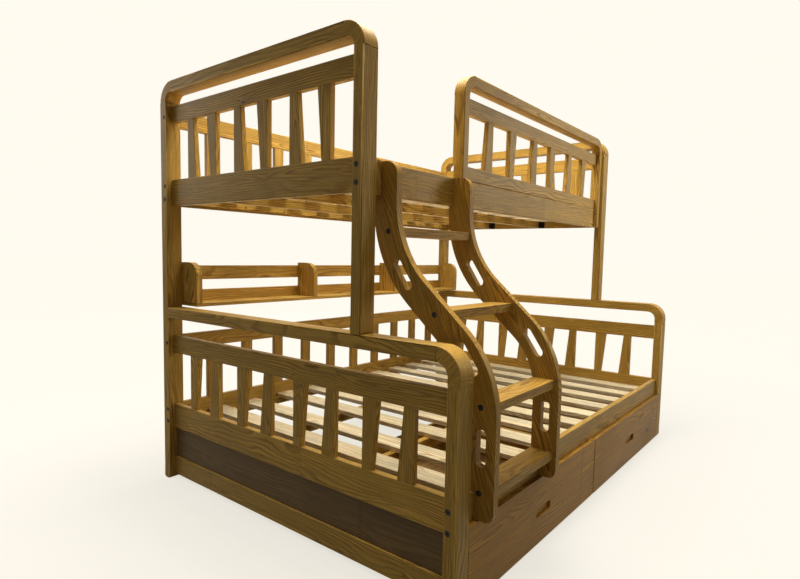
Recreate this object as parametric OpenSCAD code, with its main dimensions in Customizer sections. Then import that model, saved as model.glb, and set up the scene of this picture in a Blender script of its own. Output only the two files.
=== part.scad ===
// Solid wood bunk bed: a wide lower bed, a narrower upper bed flush with it at the rear,
// a curved ladder, a shelf between the upper rear posts and two drawers on floor wheels.
// Millimetres, +Z up. X runs along the bed, Y from the ladder side to the rear.
// The origin is on the floor, under the middle of the whole bed.

/* [Overall] */
// Length over the end frames
bed_l = 2025; // [1925:5:2125]
// Width of the lower bed over its posts
bed_w = 1436; // [1396:2:1476]
// Width of the upper bed over its posts
upper_w = 1093; // [1063:1:1123]
// Height of the lower end frames
lower_h = 711; // [691:1:731]
// Height over the upper end frames
total_h = 1597; // [1547:1:1647]

/* [Timber] */
// Width of the posts along the bed
post_x = 63; // [56:1:68]
// Depth of the posts across the bed
post_y = 40; // [36:1:42]
// Thickness of rails and end slats
board_t = 22; // [20:1:24]
// Thickness of the bed slats
slat_t = 18; // [15:1:20]
// Wide end of a tapered slat
slat_wide = 57; // [48:1:60]
// Narrow end of a tapered slat
slat_narrow = 38; // [30:1:44]
// Outer radius of the rounded frame corners
corner_r = 78; // [68:1:92]

/* [Slats] */
// Number of slats in each lower end
lower_end_n = 8; // [7:1:9]
// Number of slats in each upper end
upper_end_n = 6; // [5:1:7]
// Number of slats in the lower bed base
lower_base_n = 12; // [10:1:13]
// Number of slats in the upper bed base
upper_base_n = 11; // [10:1:13]
// Number of slats in each rear guard
rear_n = 10; // [8:1:11]
// Number of slats in the front guard
guard_n = 6; // [5:1:7]

/* [Ladder] */
// Clear width between the ladder boards
step_w = 378; // [350:2:400]
// Thickness of the ladder boards
ladder_t = 24; // [20:1:28]
// Thickness of the treads
tread_t = 27; // [24:1:30]

/* [Drawers] */
// Depth of the drawer boxes
drawer_d = 650; // [550:10:700]
// Radius of the floor wheels
wheel_r = 20; // [18:1:22]

/* [Hidden] */
$fn = 64;

wood = [0.80, 0.62, 0.36];
wood_light = [0.90, 0.76, 0.52];
wood_dark = [0.62, 0.45, 0.25];
steel = [0.45, 0.45, 0.47];

// Corner coordinates: x from the left end's outer face, y from the lower front posts' face.
step_y = bed_w - upper_w;           // the upper bed's setback
ladder_out = 47;                    // the ladder boards reach this far in front
y_mid = (bed_w - ladder_out) / 2;
board_x = 25;                       // outer face of the boards in an end frame
inner_x = board_x + board_t;        // their inner face
foot_r = 11;
tenon = 18;                         // length of the rail tenons in the posts
stub = 10;                          // length of the slat tenons in the rails

// Heights in the lower end frames
low_top_h = 42;
corner_leg = 20;                    // straight foot of a lower corner block
low_mid = [lower_h - 186, lower_h - 116];
low_wide = [212, 311];
low_bottom = [15, 88];
panel_t = 8;
groove = 7;

// Heights in the upper end frames, counted down from the top
up_top_h = 45;
up_mid = [total_h - 154, total_h - 89];
up_wide = [total_h - 478, total_h - 376];
up_rail = [total_h - 479, total_h - 380];

// Side rails, as the y of their front faces
low_front_y = 16;
up_front_y = step_y + 32;
rear_y = bed_w - post_y;

// Front guard
guard_x0 = 542;
guard_x1 = bed_l - post_x;
guard_px = 36;
guard_y0 = step_y + 14;
guard_y1 = step_y + 60;
guard_h = total_h - 7;
guard_top_h = 39;
guard_r = corner_r - 2;
guard_board_z = [up_rail[1], up_rail[1] + 51];
guard_mid = [total_h - 142, total_h - 86];

// Bed bases
ledge_d = 20;
ledge_h = 30;
base_w = 85;
low_deck = 241;                     // underside of the lower bed slats
up_deck = total_h - 440;            // underside of the upper bed slats
beam_t = 25;
beam_h = 37;
bracket_t = 2.5;
up_beams = [step_y + 368, step_y + 702];
low_beams = [bed_w / 3, bed_w * 2 / 3];
slat_slip = 38;                     // two lower slats lie this much nearer the ladder end

// Rear guards
low_rear = [lower_h - 177, lower_h - 115];
up_rear = [total_h - 167, total_h - 101];
rear_slat_w = 50;
rear_pitch = (bed_l - 2 * post_x) / (rear_n + 0.6);

// Shelf between the upper rear posts
shelf_z = lower_h + 6;
shelf_t = 14;
shelf_y = [bed_w - 150, bed_w - 10];
divider_t = 24;
divider_h = 163;
shelf_rail_t = 21;
shelf_rail_z = [[shelf_t, 61], [104, 163]];

// Ladder: a board of constant width along straight, arc, straight, arc, straight
board_w = 87;
arc_low = 270;
arc_up = 350;
lean = 48.5;
lad_low_y = -ladder_out + board_w / 2;
lad_up_y = up_front_y + 13 - board_w / 2;
lad_run = (lad_up_y - lad_low_y - (arc_low + arc_up) * (1 - cos(lean))) / sin(lean);
lad_z2 = up_rail[0] - 22;
lad_z1 = lad_z2 - (arc_low + arc_up) * sin(lean) - lad_run * cos(lean);
lad_bottom = 235;
lad_top = up_rail[1] - 2;
lad_x = [104, 104 + ladder_t + step_w];
tread_w = 74;
tread_z = [for (i = [0:3]) 310 + i * (up_rail[0] - 108 - 310) / 3];
slot_w = 29;
slot_l = 102;

// Drawers
front_t = 15;
front_z = [6, 231];
split = 6;                          // gap between the two drawer fronts
box_z = [12, 198];
box_t = 12;
box_in = 15;                        // box side behind the front board's end
bottom_z = 2 * wheel_r + 10;
bottom_t = 6;
pin_r = 4;
wheel_w = 14;
wheel_y = [60, front_t + drawer_d - 60];
pull_w = 105;
pull_h = 30;
pull_deep = 10;
pull_r = 8;                         // rounding of the pull's corners
drawer_x = [[post_x + 2, bed_l / 2 - split / 2], [bed_l / 2 + split / 2, bed_l - post_x - 2]];

// Bolts and screws
bolt_r = 3;
head_r = 8.5;
head_t = 4;
sink = 5;                           // depth of the hole that a bolt head sits in
nut_r = 5;
post_bolt = post_x + 34;            // reach of a bolt through a post
screw_r = 1.9;
screw_head = 4;
// y and z of every bolt through an end post, then the y where its nut's face shows
post_bolts = [
  [27, 229, 38], [27, 286, 38],
  [step_y + 23, up_rail[0] + 25, up_front_y], [step_y + 23, up_rail[1] - 23, up_front_y],
  [rear_y + 11, 242, rear_y], [rear_y + 11, 290, rear_y],
  [rear_y + 11, (low_rear[0] + low_rear[1]) / 2, rear_y],
  [rear_y + 11, up_rail[0] + 25, rear_y], [rear_y + 11, up_rail[1] - 23, rear_y],
  [rear_y + 11, (up_rear[0] + up_rear[1]) / 2, rear_y]];

// Puts the corner coordinates round the origin under the bed's middle.
module placed() translate([-bed_l / 2, -y_mid, 0]) children();

// Draws a piece at the left end and its mirror image at the right end.
module both_ends() {
  children();
  right_end() children();
}
module right_end() translate([bed_l, 0, 0]) mirror([1, 0, 0]) children();

module box(a, b) translate(a) cube(b - a);

// Extrudes a y-z outline along x, or an x-z outline along y.
module along_x(x, t) translate([x, 0, 0]) rotate([90, 0, 90]) linear_extrude(t) children();
module along_y(y, t) translate([0, y + t, 0]) rotate([90, 0, 0]) linear_extrude(t) children();

module rod_x(x, y, z, r, l) translate([x, y, z]) rotate([0, 90, 0]) cylinder(r = r, h = l);
module rod_y(x, y, z, r, l) translate([x, y, z]) rotate([-90, 0, 0]) cylinder(r = r, h = l);
module rod_z(x, y, z, r, l) translate([x, y, z]) cylinder(r = r, h = l);

// End frame rails between two posts, with a tenon at each end
module rail_y(y0, y1, z) {
  box([board_x, y0, z[0]], [inner_x, y1, z[1]]);
  box([board_x + 4, y0 - tenon, z[0] + 8], [inner_x - 4, y1 + tenon, z[1] - 8]);
}
module rail_y_cut(y0, y1, z)
  box([board_x + 4, y0 - tenon, z[0] + 8], [inner_x - 4, y1 + tenon, z[1] - 8]);

// Slats that taper on one edge, in pairs whose slanted edges face each other. A slat of even
// index has its straight edge on the low side; up tells that this one is wide above.
slat_tenon = 24;
function spread(n, lo, hi, first, aside) = let (p = (hi - lo) / (n + 0.8))
  [for (i = [0:n - 1]) (lo + hi) / 2 + (i - (n - 1) / 2) * p + (is_low(i, first) ? aside : -aside)];
function is_low(i, first) = (i + first) % 2 == 0;
module taper_slats(at, z, first, up)
  for (i = [0:len(at) - 1]) translate([at[i], 0]) mirror([is_low(i, first) ? 0 : 1, 0]) {
    edge = -(slat_wide + slat_narrow) / 4;
    above = is_low(i, first) == up;
    polygon([[edge, z[0]], [edge + (above ? slat_narrow : slat_wide), z[0]],
      [edge + (above ? slat_wide : slat_narrow), z[1]], [edge, z[1]]]);
  }
module slat_tenons(at, z) for (c = at)
  translate([c - slat_tenon / 2, z[0] - stub]) square([slat_tenon, z[1] - z[0] + 2 * stub]);

slat_aside = 5;
low_slat_y = spread(lower_end_n, post_y, rear_y, 0, slat_aside);
up_slat_y = spread(upper_end_n, step_y + post_y, rear_y, 0, slat_aside);
guard_slat_x = spread(guard_n, guard_x0 + guard_px, guard_x1 - guard_px, 1, -slat_aside);
rear_slat_x = [for (i = [0:rear_n - 1]) bed_l / 2 + (i - (rear_n - 1) / 2) * rear_pitch];
function base_x(n, slip) = [for (i = [0:n - 1])
  inner_x + 1 + i * (bed_l - 2 * inner_x - base_w - 2) / (n - 1) - (i == 1 || i == 2 ? slip : 0)];
low_base_x = base_x(lower_base_n, slat_slip);
up_base_x = base_x(upper_base_n, 0);

// Rounded corner between a post of width tp and a rail of height tr, corner at 0, 0
module corner_2d(r, tp, tr) {
  ri = r - max(tp, tr);
  difference() {
    intersection() {
      translate([0, -r]) square(r);
      translate([r, -r]) circle(r);
    }
    translate([tp, -r - 1]) square([r, r + 1 - tr - ri]);
    translate([tp + ri, -r - 1]) square([r, r + 1 - tr]);
    translate([tp + ri, -tr - ri]) circle(ri);
  }
}

module foot_2d(y, z1) {
  translate([y, foot_r]) square([post_y, z1 - foot_r]);
  translate([y + foot_r, 0]) square([post_y - 2 * foot_r, foot_r + 1]);
  for (c = [y + foot_r, y + post_y - foot_r]) translate([c, foot_r]) circle(foot_r);
}

// Holes for the bolts through a post, with a wide mouth for the head
module post_holes(list) for (b = list) {
  rod_x(-1, b[0], b[1], bolt_r + 0.3, post_x + 2);
  rod_x(-1, b[0], b[1], head_r + 0.5, sink + 1);
}
// The way of the bolts through the rail tenons in the posts
module bolt_ways() for (b = post_bolts) rod_x(0, b[0], b[1], bolt_r + 0.3, post_x);
// Holes in the piece that a post bolt reaches into, for its shank and its nut
module end_holes(list) for (b = list) {
  rod_x(post_x - 1, b[0], b[1], bolt_r + 0.3, post_bolt - post_x + 3);
  if (b[2] > b[0]) rod_y(post_x + 24, b[0] - 6, b[1], nut_r + 0.1, b[2] - b[0] + 7);
  else rod_y(post_x + 24, b[2] - 1, b[1], nut_r + 0.1, b[0] - b[2] + 7);
}

module pin_holes() for (y = [step_y + 20, rear_y + 20])
  rod_z(post_x / 2, y, lower_h - 36, 6.1, 72);

// Lower end frames
module lower_rear_post() difference() {
  along_x(0, post_x) foot_2d(rear_y, lower_h);
  rail_y_cut(post_y, rear_y, low_mid);
  rail_y_cut(post_y, rear_y, low_wide);
  rail_y_cut(post_y, rear_y, low_bottom);
  panel_blank();
  top_rail_tenon();
  post_holes([for (i = [4:6]) post_bolts[i]]);
  pin_holes();
}
module lower_front_post() difference() {
  along_x(0, post_x) foot_2d(0, lower_h - corner_r - corner_leg);
  rail_y_cut(post_y, rear_y, low_mid);
  rail_y_cut(post_y, rear_y, low_wide);
  rail_y_cut(post_y, rear_y, low_bottom);
  panel_blank();
  post_holes([for (i = [0:1]) post_bolts[i]]);
}
module left_lower_rear_post() color(wood) placed() lower_rear_post();
module right_lower_rear_post() color(wood) placed() right_end() lower_rear_post();
module left_lower_front_post() color(wood) placed() lower_front_post();
module right_lower_front_post() color(wood) placed() right_end() lower_front_post();

module top_rail_tenon()
  box([18, rear_y - 1, lower_h - low_top_h + 6], [post_x - 18, rear_y + tenon, lower_h - 12]);
module lower_top_rails() color(wood) placed() both_ends() difference() {
  union() {
    box([0, corner_r, lower_h - low_top_h], [post_x, rear_y, lower_h]);
    top_rail_tenon();
  }
  pin_holes();
}
module lower_corner_blocks() color(wood) placed() both_ends()
  along_x(0, post_x) translate([0, lower_h]) {
    corner_2d(corner_r, post_y, low_top_h);
    translate([0, -corner_r - corner_leg]) square([post_y, corner_leg]);
  }

module end_slot_cuts(at, z) along_x(board_x + 5, board_t - 10) slat_tenons(at, z);
module lower_mid_rails() color(wood) placed() both_ends() difference() {
  rail_y(post_y, rear_y, low_mid);
  bolt_ways();
  end_slot_cuts(low_slat_y, [low_wide[1], low_mid[0]]);
}
module lower_end_slats() color(wood_light) placed() both_ends() {
  z = [low_wide[1], low_mid[0]];
  along_x(board_x + 1, board_t - 2) taper_slats(low_slat_y, z, 0, false);
  end_slot_cuts(low_slat_y, z);
}
module lower_wide_rails() color(wood) placed() both_ends() difference() {
  rail_y(post_y, rear_y, low_wide);
  bolt_ways();
  end_slot_cuts(low_slat_y, [low_wide[1], low_mid[0]]);
  panel_blank();
  for (y = low_beams) bracket_holes(y, low_deck - beam_h);
}
module panel_blank()
  box([board_x + 7, post_y - groove, low_bottom[1] - groove],
      [board_x + 7 + panel_t, rear_y + groove, low_wide[0] + groove]);
module lower_panels() color(wood_dark) placed() both_ends() panel_blank();
module lower_bottom_rails() color(wood) placed() both_ends() difference() {
  rail_y(post_y, rear_y, low_bottom);
  panel_blank();
}

// Upper end frames, standing on the lower ones
module upper_rear_post() difference() {
  box([0, rear_y, lower_h], [post_x, bed_w, total_h - corner_r]);
  rail_y_cut(step_y + post_y, rear_y, up_mid);
  rail_y_cut(step_y + post_y, rear_y, up_wide);
  post_holes([for (i = [7:9]) post_bolts[i]]);
  pin_holes();
  shelf_tenons(0);
}
module upper_front_post() difference() {
  box([0, step_y, lower_h], [post_x, step_y + post_y, total_h - corner_r]);
  rail_y_cut(step_y + post_y, rear_y, up_mid);
  rail_y_cut(step_y + post_y, rear_y, up_wide);
  post_holes([for (i = [2:3]) post_bolts[i]]);
  pin_holes();
}
module left_upper_rear_post() color(wood) placed() upper_rear_post();
module right_upper_rear_post() color(wood) placed() right_end() upper_rear_post();
module left_upper_front_post() color(wood) placed() upper_front_post();
module right_upper_front_post() color(wood) placed() right_end() upper_front_post();

module upper_top_rails() color(wood) placed() both_ends()
  box([0, step_y + corner_r, total_h - up_top_h], [post_x, bed_w - corner_r, total_h]);
module upper_corner_blocks() color(wood) placed() both_ends() difference() {
  along_x(0, post_x) {
    translate([step_y, total_h]) corner_2d(corner_r, post_y, up_top_h);
    translate([bed_w, total_h]) mirror([1, 0]) corner_2d(corner_r, post_y, up_top_h);
  }
  rail_y(step_y + post_y, rear_y, up_mid);
}
module upper_mid_rails() color(wood) placed() both_ends() difference() {
  rail_y(step_y + post_y, rear_y, up_mid);
  bolt_ways();
  end_slot_cuts(up_slat_y, [up_wide[1], up_mid[0]]);
}
module upper_end_slats() color(wood_light) placed() both_ends() {
  z = [up_wide[1], up_mid[0]];
  along_x(board_x + 1, board_t - 2) taper_slats(up_slat_y, z, 0, true);
  end_slot_cuts(up_slat_y, z);
}
module upper_wide_rails() color(wood) placed() both_ends() difference() {
  rail_y(step_y + post_y, rear_y, up_wide);
  bolt_ways();
  end_slot_cuts(up_slat_y, [up_wide[1], up_mid[0]]);
  for (y = up_beams) bracket_holes(y, up_deck - beam_h);
}
module post_pins() color(steel) placed() both_ends()
  for (y = [step_y + 20, rear_y + 20]) rod_z(post_x / 2, y, lower_h - 35, 6, 70);

// Front guard: its posts lap over the side rail and the board that is stacked on it
module guard_post(x) difference() {
  box([x, guard_y0, up_rail[0]], [x + guard_px, guard_y1, guard_h - guard_r]);
  box([x - 1, up_front_y, up_rail[0] - 1], [x + guard_px + 1, guard_y1 + 1, guard_board_z[1]]);
  guard_rail_tenons(guard_mid);
  end_reach() post_end_cut();
}
module end_reach() right_end() children();
module post_end_cut() end_holes([for (i = [2:3]) post_bolts[i]]);
module guard_posts() color(wood) placed() {
  guard_post(guard_x0);
  guard_post(guard_x1 - guard_px);
}
module guard_top_rail() color(wood) placed()
  box([guard_x0 + guard_r, guard_y0, guard_h - guard_top_h], [guard_x1 - guard_r, guard_y1, guard_h]);
module guard_corner_blocks() color(wood) placed() difference() {
  along_y(guard_y0, guard_y1 - guard_y0) {
    translate([guard_x0, guard_h]) corner_2d(guard_r, guard_px, guard_top_h);
    translate([guard_x1, guard_h]) mirror([1, 0]) corner_2d(guard_r, guard_px, guard_top_h);
  }
  guard_mid_blank();
}
module guard_rail_tenons(z)
  box([guard_x0 + guard_px - tenon, up_front_y + 4, z[0] + 8],
      [guard_x1 - guard_px + tenon, up_front_y + board_t - 4, z[1] - 8]);
module guard_slot_cuts() along_y(up_front_y + 5, board_t - 10)
  slat_tenons(guard_slat_x, [guard_board_z[1], guard_mid[0]]);
module guard_mid_rail() color(wood) placed() difference() {
  guard_mid_blank();
  guard_slot_cuts();
}
module guard_mid_blank() {
  box([guard_x0 + guard_px, up_front_y, guard_mid[0]],
      [guard_x1 - guard_px, up_front_y + board_t, guard_mid[1]]);
  guard_rail_tenons(guard_mid);
}
module guard_slats() color(wood_light) placed() {
  along_y(up_front_y + 1, board_t - 2)
    taper_slats(guard_slat_x, [guard_board_z[1], guard_mid[0]], 1, true);
  guard_slot_cuts();
}
module guard_board() color(wood) placed() difference() {
  box([guard_x0, up_front_y, guard_board_z[0]], [guard_x1, up_front_y + board_t, guard_board_z[1]]);
  guard_slot_cuts();
}
module rail_batten() color(wood) placed() difference() {
  box([post_x, guard_y0, up_rail[0]], [post_x + 38, up_front_y, up_rail[1]]);
  post_end_cut();
}

// Side rails
module side_rail(y, z, list) difference() {
  box([post_x, y, z[0]], [bed_l - post_x, y + board_t, z[1]]);
  both_ends() end_holes([for (i = list) post_bolts[i]]);
}
module upper_front_rail() color(wood) placed() side_rail(up_front_y, up_rail, []);
module upper_rear_rail() color(wood) placed() difference() {
  side_rail(rear_y, up_rail, [7, 8]);
  rear_slot_cuts([up_rail[1], up_rear[0]]);
}
module lower_front_rail() color(wood) placed() side_rail(low_front_y, low_wide, [0, 1]);
module lower_rear_rail() color(wood) placed() difference() {
  side_rail(rear_y, low_wide, [4, 5]);
  rear_slot_cuts([low_wide[1], low_rear[0]]);
}
module rear_slot_cuts(z) along_y(rear_y + 5, board_t - 10) slat_tenons(rear_slat_x, z);
module rear_guard_rails() color(wood) placed() {
  difference() {
    side_rail(rear_y, low_rear, [6]);
    rear_slot_cuts([low_wide[1], low_rear[0]]);
  }
  difference() {
    side_rail(rear_y, up_rear, [9]);
    rear_slot_cuts([up_rail[1], up_rear[0]]);
  }
}
module rear_guard_slats() color(wood_light) placed()
  for (z = [[low_wide[1], low_rear[0]], [up_rail[1], up_rear[0]]]) {
    along_y(rear_y + 1, board_t - 2) for (c = rear_slat_x)
      translate([c - rear_slat_w / 2, z[0]]) square([rear_slat_w, z[1] - z[0]]);
    rear_slot_cuts(z);
  }

// Bed bases: ledges along the side rails, beams between the ends, slats across
low_span = [low_front_y + board_t + 2, rear_y - 2];
up_span = [up_front_y + board_t + 2, rear_y - 2];
module base_screw_at(at, span, deck) for (x = at, s = [0, 1])
  if (x + base_w / 2 > post_x + 20 && x + base_w / 2 < bed_l - post_x - 20)
    translate([x + base_w / 2, s == 0 ? span[0] + 9 : span[1] - 9, deck + slat_t]) children();
module screw_down() {
  translate([0, 0, -2]) cylinder(r = screw_head, h = 1.8);
  translate([0, 0, -slat_t - 10]) cylinder(r = screw_r, h = slat_t + 8);
}
module screw_down_hole() {
  translate([0, 0, -2]) cylinder(r = screw_head + 0.2, h = 3);
  translate([0, 0, -slat_t - 10]) cylinder(r = screw_r + 0.1, h = slat_t + 9);
}
module base_slats(at, span, deck) difference() {
  for (x = at) box([x, span[0], deck], [x + base_w, span[1], deck + slat_t]);
  base_screw_at(at, span, deck) screw_down_hole();
}
module upper_bed_slats() color(wood_light) placed() base_slats(up_base_x, up_span, up_deck);
module lower_bed_slats() color(wood_light) placed() base_slats(low_base_x, low_span, low_deck);

ledge_n = 9;
function ledge_screw(i) = post_x + 80 + i * (bed_l - 2 * post_x - 160) / (ledge_n - 1);
// Each ledge: its y span, its top and the side its rail is on
ledges = [
  [low_front_y + board_t, low_deck, -1], [rear_y - ledge_d, low_deck, 1],
  [up_front_y + board_t, up_deck, -1], [rear_y - ledge_d, up_deck, 1]];
module side_screw(l) {
  y = l[2] < 0 ? l[0] + ledge_d : l[0];
  for (i = [0:ledge_n - 1]) translate([ledge_screw(i), y, l[1] - 20])
    rotate([l[2] < 0 ? 90 : -90, 0, 0]) children();
}
module slat_ledges() color(wood) placed() difference() {
  for (l = ledges)
    box([post_x, l[0], l[1] - ledge_h], [bed_l - post_x, l[0] + ledge_d, l[1]]);
  for (l = ledges) side_screw(l) {
    translate([0, 0, -1]) cylinder(r = screw_head + 0.2, h = 3.2);
    cylinder(r = screw_r + 0.1, h = ledge_d + 1);
  }
  base_screw_at(low_base_x, low_span, low_deck) screw_down_hole();
  base_screw_at(up_base_x, up_span, up_deck) screw_down_hole();
}
module screws() color(steel) placed() {
  for (l = ledges) side_screw(l) {
    translate([0, 0, 0.2]) cylinder(r = screw_head, h = 1.8);
    translate([0, 0, 1.9]) cylinder(r = screw_r, h = ledge_d - 2.4);
  }
  base_screw_at(low_base_x, low_span, low_deck) screw_down();
  base_screw_at(up_base_x, up_span, up_deck) screw_down();
}

module slat_beams() color(wood) placed() {
  for (y = low_beams)
    box([inner_x, y, low_deck - beam_h], [bed_l - inner_x, y + beam_t, low_deck]);
  for (y = up_beams)
    box([inner_x, y, up_deck - beam_h], [bed_l - inner_x, y + beam_t, up_deck]);
}
// Angle brackets hold the beams to the wide end rails
bracket_screws = [13, 28];
bite = 6.5;                         // reach of those screws in the rail
module bracket_holes(y, z) for (h = bracket_screws)
  rod_x(inner_x - bite - 0.3, y - 14, z + h, screw_r + 0.1, bite + 1);
module bracket(y, z) {
  difference() {
    union() {
      box([inner_x, y - 25, z], [inner_x + bracket_t, y, z + beam_h]);
      box([inner_x, y - bracket_t, z], [inner_x + 30, y, z + beam_h]);
    }
    for (h = bracket_screws) rod_x(inner_x - 1, y - 14, z + h, screw_r + 0.1, 6);
  }
  for (h = bracket_screws) {
    rod_x(inner_x - bite, y - 14, z + h, screw_r, bite + bracket_t);
    rod_x(inner_x + bracket_t, y - 14, z + h, screw_head, 1.5);
  }
}
module beam_brackets() color(steel) placed() both_ends() {
  for (y = low_beams) bracket(y, low_deck - beam_h);
  for (y = up_beams) bracket(y, up_deck - beam_h);
}

// Shelf
module shelf_board() color(wood) placed()
  box([post_x, shelf_y[0], shelf_z], [bed_l - post_x, shelf_y[1], shelf_z + shelf_t]);
module divider_2d() {
  y0 = shelf_y[0];
  y1 = shelf_y[1] - shelf_rail_t;
  z0 = shelf_z + shelf_t;
  r = 57;
  translate([y0, z0]) square([y1 - y0, divider_h - r]);
  translate([y0 + r, z0]) square([y1 - y0 - r, divider_h]);
  translate([y0 + r, z0 + divider_h - r]) circle(r);
}
module shelf_dividers() color(wood) placed() for (i = [0:3])
  along_x(post_x + i * (bed_l - 2 * post_x - divider_t) / 3, divider_t) divider_2d();
module shelf_tenons(grow) for (z = shelf_rail_z)
  box([post_x - 12, shelf_y[1] - shelf_rail_t + 5, shelf_z + z[0] + 6],
      [bed_l - post_x + 12, shelf_y[1] - 5, shelf_z + z[1] - 6]);
module shelf_rails() color(wood) placed() {
  for (z = shelf_rail_z)
    box([post_x, shelf_y[1] - shelf_rail_t, shelf_z + z[0]],
        [bed_l - post_x, shelf_y[1], shelf_z + z[1]]);
  shelf_tenons(0);
}

// Ladder. Points on the centre line: arc angle a counted from the vertical.
function low_arc(a) = [lad_low_y + arc_low * (1 - cos(a)), lad_z1 + arc_low * sin(a)];
function up_arc(a) = [lad_up_y - arc_up * (1 - cos(a)), lad_z2 - arc_up * sin(a)];
function lad_y(z) = z < lad_z1 ? lad_low_y
  : z < low_arc(lean)[1] ? lad_low_y + arc_low * (1 - cos(asin((z - lad_z1) / arc_low)))
  : z < up_arc(lean)[1] ? low_arc(lean)[0] + (z - low_arc(lean)[1]) * tan(lean)
  : z < lad_z2 ? lad_up_y - arc_up * (1 - cos(asin((lad_z2 - z) / arc_up)))
  : lad_up_y;

function bend(c, r, a0, a1) = [for (i = [0:18]) let (a = a0 + (a1 - a0) * i / 18)
  c + r * [cos(a), sin(a)]];
module slot_2d(p, a) translate(p) rotate(-a) {
  for (s = [-1, 1]) translate([0, s * (slot_l - slot_w) / 2]) circle(slot_w / 2);
  square([slot_w, slot_l - slot_w], center = true);
}
// The board's outline: up the front edge, then down the rear edge with a notch over each rail
module ladder_2d() {
  h = board_w / 2;
  low_c = [lad_low_y + arc_low, lad_z1];
  up_c = [lad_up_y - arc_up, lad_z2];
  difference() {
    polygon(concat(
      bend([lad_low_y - h + 28, lad_bottom + 28], 28, 270, 180),
      bend(low_c, arc_low + h, 180, 180 - lean),
      bend(up_c, arc_up - h, -lean, 0),
      bend([lad_up_y - h + 42, lad_top - 42], 42, 180, 90),
      [[up_front_y, lad_top], [up_front_y, up_rail[0]], [lad_up_y + h, up_rail[0]]],
      bend(up_c, arc_up + h, 0, -lean),
      bend(low_c, arc_low - h, 180 - lean, 180),
      [[lad_low_y + h, low_wide[1]], [low_front_y, low_wide[1]], [low_front_y, lad_bottom]]));
    slot_2d(up_arc(37), 34);
    slot_2d(low_arc(36), 35);
    slot_2d([lad_low_y, low_wide[1] + 123], 0);
  }
}
function tread_y(i) = lad_y(tread_z[i]) + (i < 2 ? 6 : 0);
module ladder_bolts_at() for (i = [0:3]) translate([0, tread_y(i) - 3, tread_z[i]]) children();
module ladder_board(x) along_x(x, ladder_t) ladder_2d();
module ladder_left_board() color(wood_dark) placed() difference() {
  ladder_board(lad_x[0]);
  ladder_bolts_at() {
    rod_x(lad_x[0] - 1, 0, 0, bolt_r + 0.3, ladder_t + 2);
    rod_x(lad_x[0] - 1, 0, 0, head_r + 0.5, sink + 1);
  }
}
module ladder_right_board() color(wood_dark) placed() difference() {
  ladder_board(lad_x[1]);
  ladder_bolts_at() {
    rod_x(lad_x[1] - 1, 0, 0, bolt_r + 0.3, ladder_t + 2);
    rod_x(lad_x[1] + ladder_t - sink, 0, 0, head_r + 0.5, sink + 1);
  }
}
module ladder_treads() color(wood) placed() difference() {
  for (i = [0:3])
    translate([lad_x[0] + ladder_t, tread_y(i) - tread_w / 2, tread_z[i] - tread_t / 2])
      cube([step_w, tread_w, tread_t]);
  box([0, low_front_y - 0.5, 0], [bed_l, 200, low_wide[1] + 0.5]);
  ladder_bolts_at() for (s = [0, 1]) translate([s == 0 ? lad_x[0] + ladder_t : lad_x[1], 0, 0]) {
    rod_x(-41, 0, 0, bolt_r + 0.3, 82);
    rod_z(s == 0 ? 28 : -28, 0, -tread_t, nut_r + 0.1, tread_t + 6);
  }
}

// Bolts through the posts into the rails, and through the ladder boards into the treads
module bolt(l) {
  rod_x(0, 0, 0, head_r, head_t);
  rod_x(head_t - 1, 0, 0, bolt_r, l);
}
module socket() rotate([0, 90, 0]) translate([0, 0, -1]) cylinder(r = 3, h = 3.5, $fn = 6);
module bolts() color(steel) placed() {
  both_ends() for (b = post_bolts) translate([sink - head_t, b[0], b[1]]) difference() {
    bolt(post_bolt - sink);
    socket();
  }
  ladder_bolts_at() {
    translate([lad_x[0] + sink - head_t, 0, 0]) ladder_bolt();
    translate([lad_x[1] + ladder_t - sink + head_t, 0, 0]) mirror([1, 0, 0]) ladder_bolt();
  }
}
module ladder_bolt() difference() {
  bolt(ladder_t - sink + 34);
  socket();
}
module barrel_nuts() color(steel) placed() {
  both_ends() for (b = post_bolts) difference() {
    if (b[2] > b[0]) rod_y(post_x + 24, b[0] - 6, b[1], nut_r, b[2] - b[0] + 5.5);
    else rod_y(post_x + 24, b[2] + 0.5, b[1], nut_r, b[0] - b[2] + 5.5);
    rod_x(post_x, b[0], b[1], bolt_r + 0.05, 60);
  }
  ladder_bolts_at() for (x = [lad_x[0] + ladder_t + 28, lad_x[1] - 28]) difference() {
    rod_z(x, 0, 0.5 - tread_t / 2, nut_r, tread_t / 2 + 5);
    rod_x(x - 10, 0, 0, bolt_r + 0.05, 20);
  }
}

// Drawers: a front board over a box that rolls on two pairs of floor wheels
module pull_2d(c) translate([c, (front_z[0] + front_z[1]) / 2 - 6]) {
  for (x = [-1, 1], z = [-1, 1])
    translate([x * (pull_w / 2 - pull_r), z * (pull_h / 2 - pull_r)]) circle(pull_r);
  square([pull_w - 2 * pull_r, pull_h], center = true);
  square([pull_w, pull_h - 2 * pull_r], center = true);
}
module drawer_front(x) difference() {
  box([x[0], 0, front_z[0]], [x[1], front_t, front_z[1]]);
  along_y(-1, pull_deep + 1) pull_2d((x[0] + x[1]) / 2);
}
module drawer_floor(x) box([x[0] + box_in + box_t - 5, front_t, bottom_z],
  [x[1] - box_in - box_t + 5, front_t + drawer_d - box_t + 5, bottom_z + bottom_t]);
module drawer_box(x) {
  y1 = front_t + drawer_d;
  difference() {
    union() {
      box([x[0] + box_in, front_t, box_z[0]], [x[0] + box_in + box_t, y1, box_z[1]]);
      box([x[1] - box_in - box_t, front_t, box_z[0]], [x[1] - box_in, y1, box_z[1]]);
      box([x[0] + box_in, y1 - box_t, box_z[0] + 20], [x[1] - box_in, y1, box_z[1]]);
    }
    drawer_floor(x);
  }
}
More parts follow.
